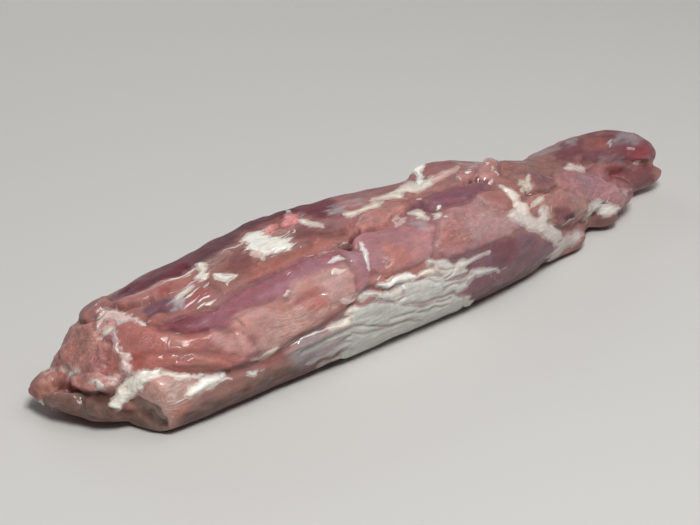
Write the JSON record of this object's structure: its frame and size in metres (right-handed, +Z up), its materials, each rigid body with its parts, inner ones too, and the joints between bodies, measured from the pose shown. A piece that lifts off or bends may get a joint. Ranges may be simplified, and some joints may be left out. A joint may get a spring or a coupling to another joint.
{
  "type": "raw pork tenderloin",
  "caption": "Long raw pork fillet with a slanted cut end, a thin ragged tail, seams between its muscles and patches of white fat, lying on its flatter side.",
  "frame": {"origin": "on the table, under the middle of the bounding box", "axes": "+X along the length from the thick cut end to the thin tail, -Y the side with the fat sheet, +Z up"},
  "size_m": [0.3154, 0.0674, 0.0497],
  "materials": {
    "lean": "moist raw pork, satin with wet glints",
    "fat": "soft cream fat, satin"
  },
  "bodies": {
    "root": {"tenderloin": "lean"}
  },
  "joints": []
}
